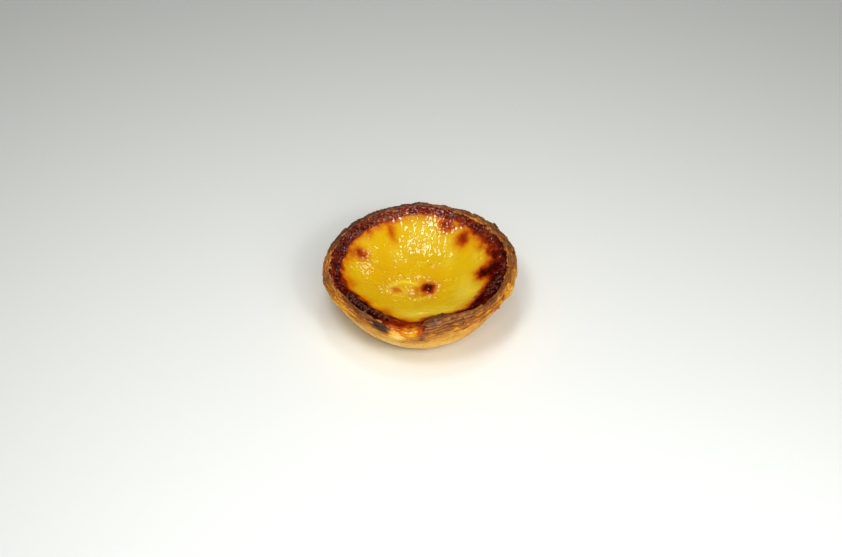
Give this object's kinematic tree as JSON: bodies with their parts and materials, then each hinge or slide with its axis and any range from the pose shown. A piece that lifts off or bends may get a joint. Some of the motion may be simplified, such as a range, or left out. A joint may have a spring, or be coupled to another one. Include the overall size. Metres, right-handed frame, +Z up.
{
  "type": "portuguese custard tart",
  "caption": "Small round custard tart: flaky pastry case with a rounded uneven rim, filled with baked custard sunk into a dish and browned in spots.",
  "frame": {"origin": "middle of the flat base, on the surface that the tart stands on", "axes": "+Z up out of the custard, -Y towards the low front of the rim, +X to the right seen from the front"},
  "size_m": [0.0782, 0.0779, 0.0238],
  "materials": {
    "pastry": "baked puff pastry: golden brown, flaky and lightly glossy, darker to burnt at the rim",
    "custard": "baked egg custard: moist glossy yellow, with caramelised brown spots and a dark sugar edge"
  },
  "bodies": {
    "root": {"pastry_case": "pastry", "custard_filling": "custard"}
  },
  "joints": []
}
